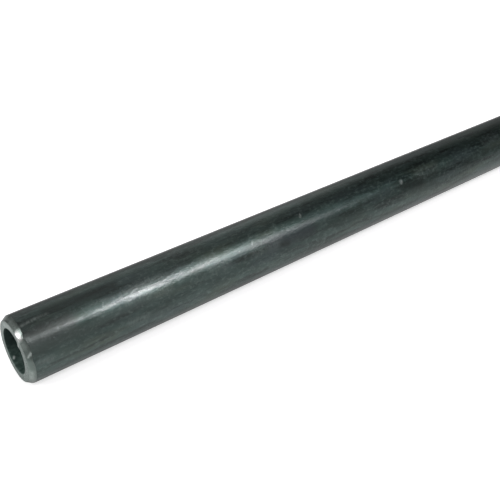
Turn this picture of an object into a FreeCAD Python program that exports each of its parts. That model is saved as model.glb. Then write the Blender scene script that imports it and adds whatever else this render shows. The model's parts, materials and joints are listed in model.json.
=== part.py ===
import FreeCAD, Part
import math
import os
import Sketcher

# Steering shaft stock: one length of cold drawn steel tube, faced square and bevelled at both ends.
# The tube lies along X, its axis is the X axis, and the origin is at the middle of its length.
# The end in the photograph is the one at low X, and the end outside the picture is finished the same.

# Name, value in millimetres, and what it measures
DRIVING_SIZES = (
    ("outer_diameter", "19.05", "outside of the drawn skin, three quarters of an inch"),
    ("wall_thickness", "3.175", "wall between skin and bore, an eighth of an inch"),
    ("cut_length", "457.2", "from end face to end face, eighteen inches"),
    ("bevel_length", "1.5", "run of the outside bevel along the tube"),
    ("bevel_depth", "1.0", "drop of the outside bevel, measured down the end face"),
    ("mouth_break", "0.15", "width of the broken edge at the mouth of the bore"),
)

FULL_TURN = 360.0
VOLUME_TOLERANCE = 1e-6


def add_sizes(doc):
    """The sheet of driving dimensions, one alias to a row."""
    sheet = doc.addObject("Spreadsheet::Sheet", "sizes")
    for row, (alias, value, meaning) in enumerate(DRIVING_SIZES, start=1):
        sheet.set(f"A{row}", alias)
        sheet.set(f"B{row}", value)
        sheet.set(f"C{row}", meaning)
        sheet.setAlias(f"B{row}", alias)
    doc.recompute()
    return sheet


def origin_plane(body, role):
    """One of the body's own three planes."""
    return next(feature for feature in body.Origin.OriginFeatures if feature.Role == role)


def sketch_on(body, role, name):
    """An empty sketch on one of the body's own planes."""
    sketch = body.newObject("Sketcher::SketchObject", name)
    sketch.AttachmentSupport = (origin_plane(body, role), [""])
    sketch.MapMode = "FlatFace"
    return sketch


def drive(sketch, name, expression, kind, *where):
    """A dimension of the sketch, bound to the sheet."""
    start = sketch.evalExpression(expression)
    index = sketch.addConstraint(Sketcher.Constraint(kind, *where, float(start)))
    sketch.renameConstraint(index, name)
    sketch.setExpression(f"Constraints.{name}", expression)


def draw_section(body):
    """Cross section of the tube: the skin and the bore, two circles about the axis."""
    sketch = sketch_on(body, "YZ_Plane", "tube_section")
    middle = FreeCAD.Vector(0, 0, 0)
    along = FreeCAD.Vector(0, 0, 1)
    outside = "<<sizes>>.outer_diameter"
    inside = "<<sizes>>.outer_diameter - 2 * <<sizes>>.wall_thickness"
    for name, expression in (("skin", outside), ("bore", inside)):
        radius = float(sketch.evalExpression(expression)) / 2
        circle = sketch.addGeometry(Part.Circle(middle, along, radius))
        sketch.addConstraint(Sketcher.Constraint("Coincident", circle, 3, -1, 1))
        drive(sketch, name, expression, "Diameter", circle)
    return sketch


def pad_tube(body, section):
    """The plain tube, drawn to section and cut to length about the middle."""
    pad = body.newObject("PartDesign::Pad", "drawn_tube")
    pad.Profile = section
    pad.SideType = "Symmetric"
    pad.setExpression("Length", "<<sizes>>.cut_length")
    return pad


def draw_corner_cut(sketch, name, edge_radius, run, drop, outward):
    """A right triangle that takes off one corner of the end face.

    edge_radius is the radius of the corner, run is the cut's length along the tube and drop its
    height up or down the end face. outward is 1 for a corner on the skin and -1 for one on the bore.
    """
    end = -float(sketch.evalExpression("<<sizes>>.cut_length / 2"))
    radius = float(sketch.evalExpression(edge_radius))
    corner = FreeCAD.Vector(end, radius, 0)
    on_face = corner - FreeCAD.Vector(0, outward * float(sketch.evalExpression(drop)), 0)
    on_wall = corner + FreeCAD.Vector(float(sketch.evalExpression(run)), 0, 0)

    slope = sketch.addGeometry(Part.LineSegment(on_face, on_wall))
    wall = sketch.addGeometry(Part.LineSegment(on_wall, corner))
    face = sketch.addGeometry(Part.LineSegment(corner, on_face))
    for first, second in ((slope, wall), (wall, face), (face, slope)):
        sketch.addConstraint(Sketcher.Constraint("Coincident", first, 2, second, 1))
    sketch.addConstraint(Sketcher.Constraint("Horizontal", wall))
    sketch.addConstraint(Sketcher.Constraint("Vertical", face))

    drive(sketch, f"{name}_end", "<<sizes>>.cut_length / 2", "DistanceX", face, 1, -1, 1)
    drive(sketch, f"{name}_radius", edge_radius, "DistanceY", -1, 1, face, 1)
    drive(sketch, f"{name}_run", run, "DistanceX", wall, 2, wall, 1)
    drop_ends = (face, 2, face, 1) if outward > 0 else (face, 1, face, 2)
    drive(sketch, f"{name}_drop", drop, "DistanceY", *drop_ends)


def turn_near_end(body):
    """The near end as the lathe leaves it: the outside bevel and the broken edge of the bore."""
    sketch = sketch_on(body, "XZ_Plane", "end_cuts")
    skin_radius = "<<sizes>>.outer_diameter / 2"
    bore_radius = "<<sizes>>.outer_diameter / 2 - <<sizes>>.wall_thickness"
    bevel_run = "<<sizes>>.bevel_length"
    bevel_drop = "<<sizes>>.bevel_depth"
    mouth_break = "<<sizes>>.mouth_break"
    draw_corner_cut(sketch, "bevel", skin_radius, bevel_run, bevel_drop, 1)
    draw_corner_cut(sketch, "mouth", bore_radius, mouth_break, mouth_break, -1)

    groove = body.newObject("PartDesign::Groove", "near_end")
    groove.Profile = sketch
    groove.ReferenceAxis = (sketch, ["H_Axis"])
    groove.Angle = FULL_TURN
    return groove


def mirror_end(body, near_end):
    """The far end, the same as the near one."""
    mirror = body.newObject("PartDesign::Mirrored", "far_end")
    mirror.Originals = [near_end]
    mirror.MirrorPlane = (origin_plane(body, "YZ_Plane"), [""])
    body.Tip = mirror
    return mirror


def expected_volume(sheet):
    """Volume of the finished tube, from the sheet alone."""
    skin = sheet.outer_diameter / 2
    bore = skin - sheet.wall_thickness
    plain = math.pi * (skin**2 - bore**2) * sheet.cut_length
    bevel_area = sheet.bevel_length * sheet.bevel_depth / 2
    bevel = 2 * math.pi * (skin - sheet.bevel_depth / 3) * bevel_area
    mouth_area = sheet.mouth_break**2 / 2
    mouth = 2 * math.pi * (bore + sheet.mouth_break / 3) * mouth_area
    return plain - 2 * (bevel + mouth)


def check(doc, sheet, body):
    """Stops the script unless every feature built and the tube is one valid solid of the right volume."""
    for feature in doc.Objects:
        if "Invalid" in feature.State or "Error" in feature.State:
            raise RuntimeError(f"{feature.Label} did not build: {feature.State}")
    shape = body.Shape
    if shape.isNull() or not shape.isValid() or len(shape.Solids) != 1:
        raise RuntimeError(f"{body.Label} is not one valid solid")
    target = expected_volume(sheet)
    if abs(shape.Volume - target) > VOLUME_TOLERANCE * target:
        raise RuntimeError(f"{body.Label} has volume {shape.Volume:.3f}, not {target:.3f}")


def write_part(body):
    """One file for the piece, named by its label."""
    os.makedirs("parts", exist_ok=True)
    body.Shape.exportStep(os.path.join("parts", f"{body.Label}.step"))


document = FreeCAD.newDocument("steering_shaft")
size_sheet = add_sizes(document)

shaft_tube = document.addObject("PartDesign::Body", "shaft_tube")
shaft_tube.Label = "shaft_tube"
shaft_tube.Placement = FreeCAD.Placement()
pad_tube(shaft_tube, draw_section(shaft_tube))
document.recompute()
mirror_end(shaft_tube, turn_near_end(shaft_tube))
document.recompute()

check(document, size_sheet, shaft_tube)
write_part(shaft_tube)
print(f"{shaft_tube.Label}: {shaft_tube.Shape.Volume:.1f} cubic mm, {shaft_tube.Shape.BoundBox}")
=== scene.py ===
import json
import math

import bmesh
import bpy
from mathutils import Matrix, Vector, noise


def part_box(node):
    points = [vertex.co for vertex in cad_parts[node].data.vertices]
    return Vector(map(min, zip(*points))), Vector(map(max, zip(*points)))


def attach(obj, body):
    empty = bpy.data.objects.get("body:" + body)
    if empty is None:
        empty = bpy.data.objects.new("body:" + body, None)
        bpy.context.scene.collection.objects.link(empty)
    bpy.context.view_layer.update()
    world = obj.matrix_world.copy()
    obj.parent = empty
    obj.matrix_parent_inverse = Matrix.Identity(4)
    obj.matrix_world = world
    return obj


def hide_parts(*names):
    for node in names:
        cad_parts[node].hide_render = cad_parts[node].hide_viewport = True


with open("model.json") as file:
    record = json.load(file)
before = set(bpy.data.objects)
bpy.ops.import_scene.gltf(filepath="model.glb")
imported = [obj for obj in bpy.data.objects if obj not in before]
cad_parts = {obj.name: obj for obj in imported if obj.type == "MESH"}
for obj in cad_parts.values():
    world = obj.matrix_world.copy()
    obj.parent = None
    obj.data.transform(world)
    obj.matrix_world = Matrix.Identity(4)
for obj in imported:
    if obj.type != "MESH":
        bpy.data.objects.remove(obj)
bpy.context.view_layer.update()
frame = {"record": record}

# Shaft tube
# One length of cold drawn steel tube, sawn off, faced square and bevelled on a lathe at both ends.
# Its skin is as it left the draw bench: dark, oiled, with fine draw lines along it.

# Sizes of the tube in millimetres, from the frame apart from the bevel's drop. What slides on the skin
# reaches from bevel to bevel, and what slides in the bore from broken edge to broken edge.
MM = 0.001
mounts = {mount["name"]: mount["dims"] for mount in frame["record"]["mounts"]}
far_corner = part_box("shaft_tube")[1]
HALF_LENGTH = round(far_corner.x / MM, 3)
SKIN_RADIUS = mounts["shaft_outside"]["r_mm"]
BORE_RADIUS = mounts["bore"]["r_mm"]
BEVEL_RUN = round(HALF_LENGTH - mounts["shaft_outside"]["length_mm"] / 2, 3)
MOUTH_BREAK = round(HALF_LENGTH - mounts["bore"]["length_mm"] / 2, 3)
BEVEL_DROP = 1.0
RING_RADIUS = SKIN_RADIUS - BEVEL_DROP
LIP_ROUND = 0.05
BEVEL_ROUND = 0.10

# The wall is a closed row of rings. They are close together in the last millimetres of each end, at
# these distances from the end face, and wider apart between.
AROUND = 240
END_REACH = 8.0
END_GAP = 0.2
BORE_RINGS = (8.0, 5.6, 4.0, 2.9, 2.1, 1.5, 1.1, 0.8, 0.6, 0.45, 0.32)
SKIN_RINGS = (1.75, 1.95, 2.25, 2.7, 3.3, 4.1, 5.2, 6.6)
FACE_PARTS = 8
BEVEL_PARTS = 9
LIP_STEPS, RING_STEPS, EDGE_STEPS = 2, 3, 4
ROUND_SHARE = 0.07
SKIN_STEP = 2.6
DENT_STEPS = (-1.2, -0.8, -0.4, 0.0, 0.4, 0.8, 1.2)
CLOSEST_RINGS = 0.12
BORE_STEP = 9.0
EDGE_MARGIN = 0.2
BORE_ZONE, TURNED_ZONE, SKIN_ZONE = 0, 1, 2

# Dents in the skin: distance from the near end, angle from the top towards the viewer, radius, depth
SKIN_DENTS = (
    (140.2, 46.8, 0.45, 0.035),
    (94.7, 29.2, 0.50, 0.030),
    (73.9, 41.0, 0.40, 0.030),
    (84.4, 70.4, 0.50, 0.045),
    (268.0, 214.0, 0.60, 0.040),
    (331.5, 118.0, 0.50, 0.030),
    (392.0, 303.0, 0.55, 0.040),
)
DENT_SPREAD = 0.6

# Where the bevel comes out narrower: angle, spread in degrees, and how much of its run is lost
BEVEL_DIPS = {
    -1: ((37.5, 6.0, 0.42), (51.0, 5.0, -0.12), (74.0, 6.0, 0.22), (-95.0, 14.0, 0.12)),
    1: ((12.0, 13.0, 0.30), (131.0, 8.0, 0.20), (-62.0, 15.0, 0.35)),
}

# The rest of its edge strays a little too: waves round the edge, how much finer the second ones are,
# seed, how far each strays, and how soon that fades along the skin
WOBBLE_TURNS, WOBBLE_FINER, WOBBLE_SEED = 2.2, 3.0, 7.0
WOBBLE, FINE_WOBBLE = 0.03, 0.015
WOBBLE_FADE = 1.6

# Unevenness of the skin, long waves from drawing and shorter ones from the rollers, and of the scale in
# the bore: length along the tube, waves round it, seed and height
SKIN_WAVES = ((42.0, 1.3, 9.0, 0.012), (9.0, 2.6, 31.0, 0.010))
SCALE_WAVE = (1.7, 5.0, 3.0, 0.025)

# The bore's mouth is a little tight on one side, where the drawn wall is thickest
TIGHT_SIDE = {-1: 100.0, 1: -60.0}
TIGHT_BY = 0.35
TIGHT_SPREAD = 4.6
TIGHT_FROM = RING_RADIUS - 0.9
TIGHT_FADE = 5.0

# The tool left a burr on the lip of the bore at the near end, and a chip is pressed in just inside it
BURR_ANGLE, BURR_HEIGHT, BURR_SPREAD = 42.5, 0.90, 0.56
BURR_TAIL_OFF, BURR_TAIL_SPREAD, BURR_TAIL_SHARE = 0.95, 0.55, 0.30
BURR_DEPTH, BURR_FOOT, BURR_END = 0.4, 0.35, 0.6
CHIP_DEPTH, CHIP_ANGLE, CHIP_HEIGHT = 0.8, -142.7, 0.14
CHIP_LENGTH, CHIP_WIDTH, CHIP_END = 0.28, 0.30, 2.2


def eased_corner(before, corner, after, reach, steps):
    """The small round that is left where two turned surfaces meet, as steps + 1 points."""
    start = corner + (before - corner).normalized() * reach
    end = corner + (after - corner).normalized() * reach
    points = []
    for step in range(steps + 1):
        part = step / steps
        points.append(start.lerp(corner, part).lerp(corner.lerp(end, part), part))
    return points


def end_profile():
    """One end from deep in the bore to the skin: (distance from the end face, radius, zone)."""
    bore_lip = Vector((MOUTH_BREAK, BORE_RADIUS))
    face_lip = Vector((0.0, BORE_RADIUS + MOUTH_BREAK))
    ring_edge = Vector((0.0, RING_RADIUS))
    skin_edge = Vector((BEVEL_RUN, SKIN_RADIUS))
    along_bore = Vector((END_REACH, BORE_RADIUS))
    along_skin = Vector((END_REACH, SKIN_RADIUS))

    profile = [(depth, BORE_RADIUS, BORE_ZONE) for depth in BORE_RINGS]
    for point in eased_corner(along_bore, bore_lip, face_lip, LIP_ROUND, LIP_STEPS):
        profile.append((*point, BORE_ZONE))
    for point in eased_corner(bore_lip, face_lip, ring_edge, LIP_ROUND, LIP_STEPS):
        profile.append((*point, TURNED_ZONE))
    for step in range(1, FACE_PARTS):
        radius = face_lip.y + (ring_edge.y - face_lip.y) * step / FACE_PARTS
        profile.append((0.0, radius, TURNED_ZONE))
    for point in eased_corner(face_lip, ring_edge, skin_edge, BEVEL_ROUND, RING_STEPS):
        profile.append((*point, TURNED_ZONE))
    for step in range(1, BEVEL_PARTS):
        between_rounds = ROUND_SHARE + (1 - 2 * ROUND_SHARE) * step / BEVEL_PARTS
        point = ring_edge.lerp(skin_edge, between_rounds)
        profile.append((*point, TURNED_ZONE))
    outer_round = eased_corner(ring_edge, skin_edge, along_skin, BEVEL_ROUND, EDGE_STEPS)
    for step, point in enumerate(outer_round):
        profile.append((*point, TURNED_ZONE if step < EDGE_STEPS - 1 else SKIN_ZONE))
    for depth in SKIN_RINGS:
        profile.append((depth, SKIN_RADIUS, SKIN_ZONE))
    return profile


def skin_stations():
    """Places of the rings along the skin between the two end profiles, closer where a dent needs them."""
    first = END_REACH + END_GAP
    last = 2 * HALF_LENGTH - first
    count = round((last - first) / SKIN_STEP)
    places = [first + (last - first) * step / count for step in range(count + 1)]
    for along, _, radius, _ in SKIN_DENTS:
        places += [along + radius * step for step in DENT_STEPS]
    places.sort()
    kept = [places[0]]
    for place in places[1:]:
        if place - kept[-1] > CLOSEST_RINGS:
            kept.append(place)
    return kept


def whole_profile():
    """The closed outline of the tube's wall, as (x, radius, zone) in millimetres."""
    near = end_profile()
    outline = [(depth - HALF_LENGTH, radius, zone) for depth, radius, zone in near]
    outline += [(place - HALF_LENGTH, SKIN_RADIUS, SKIN_ZONE) for place in skin_stations()]
    outline += [(HALF_LENGTH - depth, radius, zone) for depth, radius, zone in reversed(near)]
    inside = 2 * (HALF_LENGTH - END_REACH)
    count = round(inside / BORE_STEP)
    for step in range(1, count):
        outline.append((HALF_LENGTH - END_REACH - inside * step / count, BORE_RADIUS, BORE_ZONE))
    return outline


def clamped(value):
    """The value, held between 0 and 1."""
    return min(max(value, 0.0), 1.0)


def hump(offset, spread):
    """1 at no offset, falling away smoothly on both sides within about this spread."""
    return math.exp(-((offset / spread) ** 2))


def arc_gap(angle, degrees, radius):
    """Distance round the tube from the place at this many degrees."""
    return math.remainder(angle - math.radians(degrees), math.tau) * radius


def bevel_wobble(angle, end):
    """How far the outer edge of the bevel strays along the tube, because the skin isn't quite true."""
    up, across = math.cos(angle) * WOBBLE_TURNS, math.sin(angle) * WOBBLE_TURNS
    place = Vector((up, across, WOBBLE_SEED * end))
    wobble = WOBBLE * noise.noise(place) + FINE_WOBBLE * noise.noise(place * WOBBLE_FINER)
    for degrees, spread, loss in BEVEL_DIPS[end]:
        gap = math.degrees(arc_gap(angle, degrees, 1.0))
        wobble -= loss * hump(gap, spread)
    return wobble


def uneven(x, unit, length, turns, seed):
    """Smooth noise from -1 to 1, of this length along the tube and with this many waves round it."""
    return noise.noise(Vector((x / length, unit.y * turns, unit.z * turns + seed)))


def skin_hollow(x, unit):
    """How far the skin lies under its full radius."""
    return sum(height * (1 + uneven(x, unit, *wave)) for *wave, height in SKIN_WAVES)


def bore_scale_height(x, unit):
    """How far the scale stands out or lies back in the bore."""
    *wave, height = SCALE_WAVE
    return height * uneven(x, unit, *wave)


def dent_depth(x, angle):
    """How deep the dents in the skin are at this place."""
    depth = 0.0
    for along, degrees, size, sink in SKIN_DENTS:
        run = x + HALF_LENGTH - along
        if abs(run) < 2 * size:
            gap = math.hypot(run, arc_gap(angle, degrees, SKIN_RADIUS))
            depth += sink * hump(gap, DENT_SPREAD * size)
    return depth


def mouth_tightness(depth, radius, angle, end):
    """How far the mouth of the bore closes in on its tight side."""
    if radius >= TIGHT_FROM or depth >= END_REACH:
        return 0.0
    across = arc_gap(angle, TIGHT_SIDE[end], BORE_RADIUS)
    fade = min((END_REACH - depth) / TIGHT_FADE, 1.0)
    return TIGHT_BY * hump(across, TIGHT_SPREAD) * clamped(TIGHT_FROM - radius) * fade


def burr_height(depth, radius, angle):
    """How far the burr and its low tail stand into the bore."""
    across = arc_gap(angle, BURR_ANGLE, BORE_RADIUS)
    burr = hump(across, BURR_SPREAD)
    burr += BURR_TAIL_SHARE * hump(across - BURR_TAIL_OFF, BURR_TAIL_SPREAD)
    foot = max(radius - BORE_RADIUS - MOUTH_BREAK, 0.0)
    return BURR_HEIGHT * burr * hump(depth, BURR_DEPTH) * hump(foot, BURR_FOOT)


def chip_height(depth, angle):
    """How far the chip stands out of the bore's scale."""
    across = arc_gap(angle, CHIP_ANGLE, BORE_RADIUS)
    return CHIP_HEIGHT * hump(depth - CHIP_DEPTH, CHIP_LENGTH) * hump(across, CHIP_WIDTH)


def worked_point(x, radius, zone, angle):
    """A point of the wall, moved by what drawing, turning and handling leave."""
    end = -1 if x < 0 else 1
    depth = HALF_LENGTH - abs(x)
    unit = Vector((0.0, -math.sin(angle), math.cos(angle)))

    on_bevel = 1.0
    if depth < BEVEL_RUN + EDGE_MARGIN:
        on_bevel = clamped((radius - RING_RADIUS) / BEVEL_DROP)
    if zone != BORE_ZONE and radius > RING_RADIUS - EDGE_MARGIN and depth < END_REACH:
        fade = math.exp(-max(depth - BEVEL_RUN, 0.0) / WOBBLE_FADE)
        depth += bevel_wobble(angle, end) * on_bevel * fade

    if radius > RING_RADIUS:
        radius -= on_bevel * skin_hollow(x, unit)
    if zone == SKIN_ZONE:
        radius -= dent_depth(x, angle)
    if zone == BORE_ZONE:
        radius += bore_scale_height(x, unit)
    radius -= mouth_tightness(depth, radius, angle, end)
    if end < 0 and zone != SKIN_ZONE and depth < BURR_END and radius < RING_RADIUS:
        radius -= burr_height(depth, radius, angle)
    if end < 0 and zone == BORE_ZONE and depth < CHIP_END:
        radius -= chip_height(depth, angle)
    return Vector((end * (HALF_LENGTH - depth), radius * unit.y, radius * unit.z)) * MM


outline = whole_profile()
tube_mesh = bpy.data.meshes.new("steering_shaft_tube")
builder = bmesh.new()
angles = [math.tau * step / AROUND for step in range(AROUND)]
rings = []
for x, radius, zone in outline:
    rings.append([builder.verts.new(worked_point(x, radius, zone, angle)) for angle in angles])
for place, ring in enumerate(rings):
    following = (place + 1) % len(rings)
    zone, next_zone = outline[place][2], outline[following][2]
    if BORE_ZONE in (zone, next_zone):
        zone = BORE_ZONE
    elif zone != next_zone:
        zone = TURNED_ZONE
    for step in range(AROUND):
        beside = (step + 1) % AROUND
        next_ring = rings[following]
        face = builder.faces.new((ring[step], ring[beside], next_ring[beside], next_ring[step]))
        face.smooth = True
        face.material_index = zone
bmesh.ops.recalc_face_normals(builder, faces=builder.faces)
builder.to_mesh(tube_mesh)
builder.free()
tube = bpy.data.objects.new("steering_shaft_tube", tube_mesh)
bpy.context.scene.collection.objects.link(tube)


def new_tree(name):
    """An empty material and its node tree."""
    material = bpy.data.materials.new(name)
    material.use_nodes = True
    material.node_tree.nodes.clear()
    return material, material.node_tree


def add(tree, kind, inputs, **settings):
    """Adds a node. inputs are values or sockets by the name or number of the input."""
    node = tree.nodes.new(kind)
    for name, value in settings.items():
        setattr(node, name, value)
    for name, value in inputs.items():
        if isinstance(value, bpy.types.NodeSocket):
            tree.links.new(value, node.inputs[name])
        else:
            node.inputs[name].default_value = value
    return node


def on_object(tree):
    """The place on the object, in metres."""
    return add(tree, "ShaderNodeTexCoord", {}).outputs["Object"]


def coordinates(tree):
    """The same place as its X, Y and Z."""
    return add(tree, "ShaderNodeSeparateXYZ", {"Vector": on_object(tree)}).outputs


def maths(tree, operation, first, second, **settings):
    """A sum with two values."""
    inputs = {0: first, 1: second}
    return add(tree, "ShaderNodeMath", inputs, operation=operation, **settings).outputs[0]


def scaled(tree, value, other):
    """One value times another."""
    return maths(tree, "MULTIPLY", value, other)


def grain(tree, along, across, detail=3.0, seed=0.0, rough=0.55):
    """Noise from 0 to 1 whose grains are about this long and wide, in millimetres."""
    scale = (1 / (along * MM), 1 / (across * MM), 1 / (across * MM))
    shift = (seed, seed * 1.7, -seed)
    inputs = {"Vector": on_object(tree), "Location": shift, "Scale": scale}
    fitted = add(tree, "ShaderNodeMapping", inputs).outputs["Vector"]
    inputs = {"Vector": fitted, "Scale": 1.0, "Detail": detail, "Roughness": rough}
    return add(tree, "ShaderNodeTexNoise", inputs).outputs["Fac"]


def ramp(tree, value, low, high, to_low=0.0, to_high=1.0):
    """Maps a value from one range smoothly to another and holds it there."""
    inputs = {"Value": value, "From Min": low, "From Max": high, "To Min": to_low, "To Max": to_high}
    return add(tree, "ShaderNodeMapRange", inputs, interpolation_type="SMOOTHSTEP").outputs["Result"]


def blend(tree, share, first, second):
    """Mixes two colours."""
    node = tree.nodes.new("ShaderNodeMix")
    node.data_type = "RGBA"
    for socket, value in ((node.inputs[0], share), (node.inputs[6], first), (node.inputs[7], second)):
        if isinstance(value, bpy.types.NodeSocket):
            tree.links.new(value, socket)
        else:
            socket.default_value = value
    return node.outputs[2]


def bump(tree, height, depth, under=None):
    """Relief of this depth in millimetres, on top of another relief."""
    inputs = {"Height": height, "Distance": depth * MM, "Strength": 1.0}
    if under is not None:
        inputs["Normal"] = under
    return add(tree, "ShaderNodeBump", inputs).outputs["Normal"]


def finish_material(tree, colour, roughness, normal, **constants):
    """The surface shader and the output."""
    inputs = {"Base Color": colour, "Roughness": roughness, "Normal": normal}
    inputs.update(constants)
    shader = add(tree, "ShaderNodeBsdfPrincipled", inputs)
    add(tree, "ShaderNodeOutputMaterial", {"Surface": shader.outputs["BSDF"]})


def on_tube(along, degrees, radius=SKIN_RADIUS):
    """The point of the tube at this distance from the near end, angle and radius, in metres."""
    angle = math.radians(degrees)
    return Vector((along - HALF_LENGTH, -radius * math.sin(angle), radius * math.cos(angle))) * MM


def vector_math(tree, operation, first, second):
    """A sum with two vectors."""
    return add(tree, "ShaderNodeVectorMath", {0: first, 1: second}, operation=operation)


def near_line(tree, start, end, reach):
    """1 on the line between two places on the tube, easing to 0 at this distance in millimetres."""
    line = on_tube(*end) - on_tube(*start)
    unit = line / line.length_squared
    offset = vector_math(tree, "SUBTRACT", on_object(tree), on_tube(*start)).outputs["Vector"]
    share = vector_math(tree, "DOT_PRODUCT", offset, unit).outputs["Value"]
    held = maths(tree, "MULTIPLY", share, 1.0, use_clamp=True)
    closest = add(tree, "ShaderNodeVectorMath", {0: line, "Scale": held}, operation="SCALE")
    gap = vector_math(tree, "DISTANCE", offset, closest.outputs["Vector"]).outputs["Value"]
    return ramp(tree, gap, 0.0, reach * MM, 1.0, 0.0)


def marks(tree, rows):
    """The strongest of these marks. A row has the two ends of a line, its reach and its strength."""
    largest = 0.0
    for start, end, reach, strength in rows:
        mark = scaled(tree, near_line(tree, start, end, reach), strength)
        largest = maths(tree, "MAXIMUM", largest, mark)
    return largest


# Drawn skin: dark oxide under an oil film, with broken draw lines, roller marks across them and pits
OXIDE, PALE_OXIDE = (0.0175, 0.034, 0.029, 1), (0.030, 0.053, 0.047, 1)
BLUE_FILM, BROWN_FILM = (0.028, 0.043, 0.045, 1), (0.034, 0.047, 0.033, 1)
DARK_STREAK, DRAW_LINE = (0.004, 0.012, 0.010, 1), (0.008, 0.016, 0.013, 1)
MOTTLE = (0.071, 0.100, 0.092, 1)
HANDLED_AND_HIGHLIGHT_OXIDE = (0.042, 0.047, 0.045, 1)
DARKER_OXIDE = (0.010, 0.020, 0.017, 1)
BLUED_OXIDE = (0.022, 0.030, 0.036, 1)
BLACK_OXIDE = (0.003, 0.009, 0.007, 1)
# Light steel colour for the rub off the bevel, and for the painted highlight patches and glints
RUBBED_STEEL_AND_HIGHLIGHT = (0.23, 0.265, 0.25, 1)

# Marks on the skin. Each place is a distance from the near end and an angle from the top towards the
# viewer, and each row is start, end, reach in millimetres and strength.
# Lighter, greyer oxide along the start of the light line at the near end: handling wear and a painted
# highlight
HANDLED_END_AND_HIGHLIGHT = (((1.0, 44.0), (13.0, 42.0), 4.5, 0.75),)
# Darker patches in the oxide
DARKER_PATCHES = (
    ((2.6, 64.0), (17.0, 62.0), 2.6, 0.50),
    ((93.0, 51.5), (97.0, 51.0), 4.8, 0.80),
    ((98.0, 49.0), (132.0, 48.0), 3.2, 0.25),
    ((21.0, 68.0), (28.0, 69.0), 3.8, 0.25),
    ((107.0, 73.0), (117.0, 74.0), 4.4, 0.32),
    ((145.0, 74.5), (157.0, 76.0), 4.4, 0.50),
    ((98.5, 47.5), (107.0, 48.0), 3.0, 0.50),
    ((83.5, 49.0), (90.0, 48.0), 2.4, 0.35),
    ((19.0, 45.0), (22.5, 44.5), 2.4, 0.30),
    ((35.5, 87.0), (41.0, 88.0), 2.8, 0.40),
    ((173.0, 71.0), (180.0, 72.0), 3.6, 0.40),
)
BLUED_PATCH = (((80.0, 63.0), (96.0, 62.0), 3.6, 0.60),)
BLACK_PATCHES = (
    ((9.4, 7.0), (28.5, 14.0), 2.6, 1.0),
    ((140.0, 59.0), (149.0, 64.0), 3.0, 1.0),
    ((83.2, 66.0), (86.2, 69.0), 1.6, 1.0),
    ((259.0, 205.0), (283.0, 211.0), 3.2, 1.0),
    ((352.0, 122.0), (366.0, 128.0), 2.8, 1.0),
)
RUB_OFF_THE_BEVEL = (
    ((1.6, 17.8), (4.1, 15.6), 0.75, 0.42),
    ((4.1, 15.6), (6.1, 14.5), 0.80, 0.38),
    ((6.1, 14.5), (9.4, 14.4), 0.80, 0.22),
)
# Lighter patches, mostly in and beside the light line, that widen and brighten it: painted highlight
PAINTED_HIGHLIGHT_PATCHES = (
    ((30.5, 42.5), (37.0, 43.5), 4.0, 0.22),
    ((1.2, 39.0), (2.4, 42.0), 1.5, 0.12),
    ((22.0, 44.5), (27.0, 44.5), 4.2, 0.06),
    ((73.0, 50.0), (82.0, 50.0), 4.6, 0.06),
    ((74.0, 59.5), (82.0, 59.0), 3.0, 0.11),
    ((150.0, 44.0), (158.0, 43.0), 4.4, 0.11),
    ((189.0, 38.0), (196.0, 37.0), 3.6, 0.11),
    ((33.0, 31.5), (38.5, 30.5), 2.4, 0.15),
    ((23.5, 39.0), (27.5, 39.5), 2.0, 0.06),
    ((47.0, 27.0), (52.0, 27.0), 2.4, 0.04),
    ((3.2, 81.0), (6.0, 84.0), 1.6, 0.16),
    ((29.0, 85.0), (34.0, 86.0), 1.8, 0.12),
    ((38.0, 36.0), (42.0, 35.0), 2.8, 0.11),
    ((37.5, 51.0), (42.5, 53.0), 2.8, 0.14),
    ((26.5, 43.0), (30.5, 43.0), 2.6, 0.10),
    ((54.5, 41.0), (60.0, 41.0), 2.6, 0.12),
    ((58.0, 55.0), (63.0, 54.5), 2.6, 0.10),
)
# Light ticks across the dents: bare metal in the dings, and painted glints where they lie in the light
# line
DING_TICKS_AND_GLINTS = (
    ((10.0, 43.0), (9.8, 46.0), 0.60, 0.14),
    ((23.7, 34.8), (23.2, 41.0), 0.42, 0.30),
    ((74.2, 38.6), (73.6, 43.4), 0.55, 0.55),
    ((95.0, 26.8), (94.4, 31.5), 0.70, 0.60),
    ((140.3, 45.4), (140.0, 48.2), 1.10, 0.45),
    ((268.0, 213.0), (268.4, 215.0), 0.65, 0.60),
    ((331.2, 117.0), (331.9, 119.0), 0.60, 0.50),
)

skin, tree = new_tree("drawn_skin")
draw_lines = grain(tree, along=5.0, across=0.50, detail=4.0, seed=1.3, rough=0.6)
hairlines = grain(tree, along=5.0, across=0.16, detail=2.0, seed=12.7)
streaks = grain(tree, along=18.0, across=2.0, detail=4.0, seed=4.1, rough=0.6)
patches = grain(tree, along=6.5, across=2.2, detail=5.0, seed=6.6, rough=0.6)
mottle = grain(tree, along=1.5, across=0.9, detail=5.0, seed=2.9, rough=0.65)
film = grain(tree, along=22.0, across=6.0, detail=2.0, seed=11.4)
roller_marks = grain(tree, along=0.45, across=1.5, detail=1.0, seed=7.7)
grit = grain(tree, along=0.75, across=0.46, detail=1.0, seed=9.2)
waves = grain(tree, along=6.5, across=2.2, detail=1.0, seed=3.8)
pits = grain(tree, along=0.7, across=0.5, detail=1.0, seed=5.3)

colour = blend(tree, ramp(tree, patches, 0.35, 0.65), OXIDE, PALE_OXIDE)
colour = blend(tree, ramp(tree, film, 0.50, 0.70, 0.0, 0.6), colour, BLUE_FILM)
colour = blend(tree, ramp(tree, film, 0.50, 0.28, 0.0, 0.6), colour, BROWN_FILM)
colour = blend(tree, ramp(tree, streaks, 0.46, 0.66, 0.0, 0.95), colour, DARK_STREAK)
colour = blend(tree, ramp(tree, draw_lines, 0.50, 0.75, 0.0, 0.4), colour, DRAW_LINE)
colour = blend(tree, ramp(tree, mottle, 0.46, 0.76, 0.0, 0.70), colour, MOTTLE)
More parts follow.
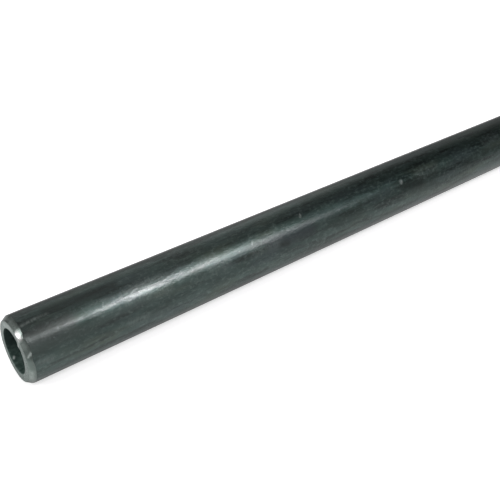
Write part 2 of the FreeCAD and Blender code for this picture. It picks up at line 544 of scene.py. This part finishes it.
# Handling wear, and a painted highlight at the start of the light line
colour = blend(tree, marks(tree, HANDLED_END_AND_HIGHLIGHT), colour, HANDLED_AND_HIGHLIGHT_OXIDE)
colour = blend(tree, marks(tree, DARKER_PATCHES), colour, DARKER_OXIDE)
colour = blend(tree, marks(tree, BLUED_PATCH), colour, BLUED_OXIDE)
broken_black = scaled(tree, marks(tree, BLACK_PATCHES), ramp(tree, mottle, 0.25, 0.60, 0.20, 0.80))
colour = blend(tree, broken_black, colour, BLACK_OXIDE)
# The rub off the bevel is wear; the patches and ticks with it are painted highlight and painted glints
rub_and_painted_highlight = marks(tree, RUB_OFF_THE_BEVEL + PAINTED_HIGHLIGHT_PATCHES + DING_TICKS_AND_GLINTS)
broken_rub_and_highlight = scaled(tree, rub_and_painted_highlight, ramp(tree, roller_marks, 0.30, 0.60, 0.35, 1.0))
colour = blend(tree, broken_rub_and_highlight, colour, RUBBED_STEEL_AND_HIGHLIGHT)
roughness = ramp(tree, mottle, 0.30, 0.70, 0.275, 0.385)

# The relief is roughest a hand's width in from the near end, and finer on the far half and at the back
place = coordinates(tree)
along, across = place["X"], place["Y"]
handled = ramp(tree, along, -0.222, -0.185, 0.30, 1.00)
rougher = scaled(tree, handled, ramp(tree, along, -0.140, -0.080, 1.00, 0.55))
far_half = ramp(tree, along, -0.012, 0.040, 1.00, 0.45)
back = ramp(tree, across, -0.0010, 0.0050, 1.00, 0.50)
even = scaled(tree, far_half, back)
relief = bump(tree, hairlines, 0.0200)
relief = bump(tree, scaled(tree, waves, even), 0.0350, relief)
relief = bump(tree, scaled(tree, roller_marks, even), 0.0220, relief)
relief = bump(tree, scaled(tree, scaled(tree, grit, rougher), even), 0.0440, relief)
relief = bump(tree, ramp(tree, pits, 0.66, 0.80, 1.0, 0.0), 0.0150, relief)
oil_film = {"Coat Weight": 0.23, "Coat Roughness": 0.16, "Coat IOR": 2.2, "Coat Normal": relief}
metal = {"Metallic": 1.0, "Specular Tint": (0.56, 0.56, 0.56, 1)}
finish_material(tree, colour, roughness, relief, **metal, **oil_film)

# Turned steel: bevel, ring and lip as the tool left them, with fine rings and one score. Darker patches
# on the bevel's lower side and its outer rim are painted shade, and the light ring edge and bevel by the
# hot spot are painted highlight
TURNED_STEEL, PALE_STEEL = (0.158, 0.185, 0.173, 1), (0.205, 0.235, 0.221, 1)
BEVEL_LOWER_SHADE = (0.078, 0.104, 0.094, 1)
EDGE_SHADE = (0.070, 0.082, 0.077, 1)
BEVEL_RIM_SHADE = (0.080, 0.094, 0.088, 1)
SCORED_STEEL = (0.43, 0.48, 0.46, 1)
RING_STEEL, TURNING_LINE = (0.49, 0.61, 0.565, 1), (0.110, 0.134, 0.125, 1)
WORN_STEEL_AND_HIGHLIGHT = (0.62, 0.70, 0.67, 1)
PAINTED_HIGHLIGHT_WHITE = (0.86, 0.86, 0.85, 1)
GLINT_STEEL = (0.29, 0.285, 0.282, 1)
BURR_STEEL = (0.72, 0.77, 0.75, 1)

# Marks on the turned end, with the radius as the third number of a place
# Darker patches on the lower side of the bevel: painted shade
BEVEL_SHADE_PATCHES = (
    ((0.75, 58.0, 9.1), (0.75, 70.0, 9.1), 1.3, 0.30),
    ((0.75, 70.0, 9.1), (0.75, 90.0, 9.1), 1.6, 0.75),
    ((0.50, 126.0, 9.0), (0.50, 148.0, 9.0), 1.2, 0.70),
)
SHADED_EDGE = (
    ((0.1, -62.0, 8.35), (0.1, -36.0, 8.35), 0.75, 0.80),
    ((0.1, -36.0, 8.35), (0.4, -10.0, 8.45), 0.75, 0.80),
)
SCORE = ((0.60, 68.0, 8.93), (1.35, 63.0, 9.42), 0.42, 0.80)
BRUISE = ((1.00, 65.5, 9.20), (1.45, 62.5, 9.48), 0.62, 0.80)
# Lighter patches on the ring face, partly wear and partly painted light; the one beside the hot spot is
# painted highlight
WORN_RING_AND_HIGHLIGHT = (
    ((0.0, -34.0, 7.5), (0.0, 2.0, 7.6), 1.1, 0.350),
    ((0.0, 62.0, 7.3), (0.0, 104.0, 7.3), 1.6, 0.315),
    ((0.0, 104.0, 7.3), (0.0, 140.0, 7.3), 1.6, 0.315),
    ((0.0, 38.0, 7.1), (0.2, 39.0, 8.3), 0.85, 0.350),
)
# Painted highlight: a near-white line along the ring's outer edge beside the hot spot, and lighter,
# greyer steel on the bevel where the hot spot falls
RING_EDGE_HIGHLIGHT = (((0.0, 24.0, 8.30), (0.0, 36.0, 8.20), 0.82, 0.80),)
GLINT = (((0.45, 22.0, 8.90), (0.55, 37.0, 8.95), 0.85, 0.85),)
BURR_ON_FACE = (((0.05, 41.0, 6.30), (0.20, 45.0, 5.60), 0.95, 1.0),)
TURNING_PITCH = 0.11

turned, tree = new_tree("turned_steel")
tool_rings = grain(tree, along=0.06, across=14.0, detail=2.0, seed=3.3)
smear = grain(tree, along=1.3, across=1.1, detail=3.0, seed=8.1)
colour = blend(tree, ramp(tree, smear, 0.30, 0.70), TURNED_STEEL, PALE_STEEL)
# Painted shade on the bevel's lower side
colour = blend(tree, marks(tree, BEVEL_SHADE_PATCHES), colour, BEVEL_LOWER_SHADE)
colour = blend(tree, marks(tree, SHADED_EDGE), colour, EDGE_SHADE)

spoke = vector_math(tree, "MULTIPLY", on_object(tree), (0, 1, 1))
from_axis = add(tree, "ShaderNodeVectorMath", {0: spoke.outputs["Vector"]}, operation="LENGTH")
from_axis = from_axis.outputs["Value"]
# The outer part of the bevel is darkened all round: painted shade that keeps the hot spot short
colour = blend(tree, ramp(tree, from_axis, 8.98 * MM, 9.42 * MM, 0.0, 0.65), colour, BEVEL_RIM_SHADE)
colour = blend(tree, marks(tree, (SCORE, BRUISE)), colour, SCORED_STEEL)
on_ring = ramp(tree, from_axis, 8.62 * MM, 8.20 * MM, 0.0, 0.50)
colour = blend(tree, scaled(tree, on_ring, ramp(tree, smear, 0.30, 0.70, 0.80, 1.15)), colour, RING_STEEL)

# The face has fine rings about the axis, a little uneven, as the facing tool leaves them
turns = scaled(tree, from_axis, 1 / (TURNING_PITCH * MM))
turns = maths(tree, "ADD", turns, scaled(tree, smear, 2.5))
turns = add(tree, "ShaderNodeTexNoise", {"W": turns, "Scale": 1.0, "Detail": 2.0}, noise_dimensions="1D")
turns = turns.outputs["Fac"]
colour = blend(tree, ramp(tree, turns, 0.42, 0.72, 0.0, 0.32), colour, TURNING_LINE)
# Wear and painted highlight on the ring face
colour = blend(tree, marks(tree, WORN_RING_AND_HIGHLIGHT), colour, WORN_STEEL_AND_HIGHLIGHT)
# Painted highlight on the ring's edge and on the bevel at the hot spot
colour = blend(tree, marks(tree, RING_EDGE_HIGHLIGHT), colour, PAINTED_HIGHLIGHT_WHITE)
colour = blend(tree, marks(tree, GLINT), colour, GLINT_STEEL)
colour = blend(tree, marks(tree, BURR_ON_FACE), colour, BURR_STEEL)
roughness = ramp(tree, smear, 0.30, 0.70, 0.24, 0.32)
relief = bump(tree, smear, 0.0200)
relief = bump(tree, tool_rings, 0.0030, relief)
relief = bump(tree, turns, 0.0015, relief)
relief = bump(tree, near_line(tree, *SCORE[:3]), 0.0100, relief)
metal = {"Metallic": 1.0, "Specular Tint": (0.8, 0.8, 0.8, 1)}
finish_material(tree, colour, roughness, relief, **metal)

# Bore: dark scale from the mill, never cleaned, with one chip that shows metal
BORE_SCALE, PALE_SCALE = (0.048, 0.086, 0.074, 1), (0.118, 0.176, 0.156, 1)
BORE_TOP_SHADE = (0.014, 0.030, 0.026, 1)
CHIP_STEEL = (0.56, 0.62, 0.60, 1)
CHIP = (((0.68, -144.5, 6.25), (0.88, -141.0, 6.25), 0.50, 1.0),)
BURR_IN_BORE = (((0.00, 41.0, 6.30), (0.25, 45.0, 5.60), 0.85, 1.0),)

bore, tree = new_tree("bore_scale")
scale_grain = grain(tree, along=1.4, across=0.9, detail=4.0, seed=6.2)
colour = blend(tree, ramp(tree, scale_grain, 0.35, 0.68), BORE_SCALE, PALE_SCALE)
height = coordinates(tree)["Z"]
# The upper part of the bore is darkened: painted shade
colour = blend(tree, ramp(tree, height, -4.8 * MM, -1.2 * MM, 0.0, 0.84), colour, BORE_TOP_SHADE)
colour = blend(tree, marks(tree, CHIP), colour, CHIP_STEEL)
colour = blend(tree, marks(tree, BURR_IN_BORE), colour, BURR_STEEL)
roughness = ramp(tree, scale_grain, 0.3, 0.7, 0.45, 0.65)
finish_material(tree, colour, roughness, bump(tree, scale_grain, 0.0300), Metallic=0.4)

# In the order of the zones
for material in (bore, turned, skin):
    tube_mesh.materials.append(material)
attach(tube, "root")
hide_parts("shaft_tube")

# Floor
# A pale studio sheet, level under the tube, which lies on it unheld.
# It shows white to the camera and in reflections, and it keeps the tube's shadow.

FLOOR_REACH = 30.0
PAPER_WHITE = (0.82, 0.82, 0.82, 1)
PAPER_LIFT = 0.62

floor_mesh = bpy.data.meshes.new("studio_floor")
floor_height = -SKIN_RADIUS * MM
sides = ((-1, -1), (1, -1), (1, 1), (-1, 1))
corners = [(side * FLOOR_REACH, front * FLOOR_REACH, floor_height) for side, front in sides]
floor_mesh.from_pydata(corners, [], [(0, 1, 2, 3)])
floor = bpy.data.objects.new("studio_floor", floor_mesh)
bpy.context.scene.collection.objects.link(floor)


def glow(tree, strength):
    """A white glow of this strength."""
    inputs = {"Color": (1, 1, 1, 1), "Strength": strength}
    return add(tree, "ShaderNodeEmission", inputs).outputs["Emission"]


def both(tree, first, second):
    """Two surfaces added up."""
    return add(tree, "ShaderNodeAddShader", {0: first, 1: second}).outputs["Shader"]


def either(tree, share, first, second):
    """The first surface, or the second where share is 1."""
    return add(tree, "ShaderNodeMixShader", {0: share, 1: first, 2: second}).outputs["Shader"]


pale, tree = new_tree("pale_floor")
ray = add(tree, "ShaderNodeLightPath", {}).outputs
paper = add(tree, "ShaderNodeBsdfDiffuse", {"Color": PAPER_WHITE}).outputs["BSDF"]
to_camera = either(tree, ray["Is Camera Ray"], paper, both(tree, paper, glow(tree, PAPER_LIFT)))

# In reflections the sheet carries a painted glow, palest close in front of the tube and left out in the
# gap under it, where it is dark
front = coordinates(tree)["Y"]
reflected_glow_and_shadow = ramp(tree, front, -0.050, -0.010, 0.08, 0.68)
reflected_glow_and_shadow = scaled(tree, reflected_glow_and_shadow, ramp(tree, front, -0.009, -0.002, 1.0, 0.0))
reflected = both(tree, paper, glow(tree, reflected_glow_and_shadow))
mirrored = maths(tree, "MAXIMUM", ray["Is Glossy Ray"], ray["Is Transmission Ray"])
add(tree, "ShaderNodeOutputMaterial", {"Surface": either(tree, mirrored, to_camera, reflected)})
floor_mesh.materials.append(pale)

# Light
# Four soft boxes and a pale room. The key box and its bright core draw the light line along the skin,
# the top box softens the line's upper edge, and the bevel box on the left lights the turned end.

LINE_AIM = (-0.185, 0.0, 0.0)
END_AIM = (-0.2286, 0.0, 0.0)
WHITE = (1.0, 1.0, 1.0)
WARM = (1.0, 0.945, 0.985)


def soft_box(name, place, size, strength, target, tint):
    """A rectangular lamp that faces a point. strength is the brightness of its face."""
    lamp = bpy.data.lights.new(name, "AREA")
    lamp.color = tint
    lamp.shape = "RECTANGLE"
    lamp.size, lamp.size_y = size
    lamp.energy = strength * math.pi * size[0] * size[1]
    box = bpy.data.objects.new(name, lamp)
    box.location = place
    box.rotation_euler = (Vector(target) - Vector(place)).to_track_quat("-Z", "Y").to_euler()
    box.visible_camera = False
    bpy.context.scene.collection.objects.link(box)


soft_box("key_box", (0.440, -0.667, 0.754), (0.130, 0.370), 10.9, LINE_AIM, WARM)
soft_box("key_core", (0.280, -0.655, 0.889), (0.084, 0.100), 102.0, LINE_AIM, WARM)
soft_box("top_box", (0.310, -0.350, 1.035), (0.200, 0.360), 2.0, LINE_AIM, WHITE)
soft_box("bevel_box", (-1.125, 0.03, 0.80), (0.52, 0.34), 8.5, END_AIM, WHITE)


def level_between(tree, share, first, second):
    """The first brightness, or the second where share is 1."""
    return add(tree, "ShaderNodeMix", {0: share, 2: first, 3: second}).outputs[0]


# The room's walls have their brightness by direction: along the tube, across it and upwards
room = bpy.data.worlds.new("studio_room")
room.use_nodes = True
tree = room.node_tree
tree.nodes.clear()
facing = add(tree, "ShaderNodeTexCoord", {}).outputs["Generated"]
along_tube, across_tube, upward = add(tree, "ShaderNodeSeparateXYZ", {"Vector": facing}).outputs

low_right = ramp(tree, along_tube, 0.50, 0.74, 1.08, 0.38)
high_right = ramp(tree, along_tube, 0.35, 0.75, 0.66, 0.09)
right = level_between(tree, ramp(tree, upward, 0.30, 0.65), low_right, high_right)
left = ramp(tree, along_tube, -0.20, 0.50, 0.62, 1.14)
behind = ramp(tree, across_tube, -0.10, 0.60, 0.74, 1.50)
far_side = level_between(tree, ramp(tree, along_tube, 0.40, 0.60), 1.0, behind)
skirting = ramp(tree, upward, -0.05, 0.45, 0.30, 1.0)
skirting = level_between(tree, ramp(tree, across_tube, -0.20, 0.40), 1.0, skirting)
level = scaled(tree, scaled(tree, left, right), scaled(tree, far_side, skirting))

walls = add(tree, "ShaderNodeBackground", {"Color": (1, 1, 1, 1), "Strength": level})
backdrop = add(tree, "ShaderNodeBackground", {"Color": (1, 1, 1, 1), "Strength": 1.0})
walls, backdrop = walls.outputs["Background"], backdrop.outputs["Background"]
seen = add(tree, "ShaderNodeLightPath", {}).outputs["Is Camera Ray"]
add(tree, "ShaderNodeOutputWorld", {"Surface": either(tree, seen, walls, backdrop)})
bpy.context.scene.world = room

# Camera
# It stands near the bevelled end, about 31 degrees above the floor, and looks along the tube.
# FOCUS and the centre of the lens are in pixels of a picture 500 wide.

SENSOR = 36.0
PICTURE = 500.0
FOCUS = 740.7
CENTRE_X, CENTRE_Y = 242.4, 220.4
STAND = (-0.27404, -0.15172, 0.12624)
TILT_DOWN, TURN_RIGHT = 30.602, 38.463

camera = bpy.data.cameras.new("photo_camera")
camera.sensor_width = SENSOR
camera.lens = SENSOR * FOCUS / PICTURE
camera.shift_x = (PICTURE / 2 - CENTRE_X) / PICTURE
camera.shift_y = (CENTRE_Y - PICTURE / 2) / PICTURE
camera.clip_start = 0.01
camera.clip_end = 100.0
viewpoint = bpy.data.objects.new("photo_camera", camera)
viewpoint.location = STAND
viewpoint.rotation_euler = (math.radians(90.0 - TILT_DOWN), 0.0, math.radians(-TURN_RIGHT))
bpy.context.scene.collection.objects.link(viewpoint)
bpy.context.scene.camera = viewpoint
bpy.context.scene.view_settings.view_transform = "Standard"
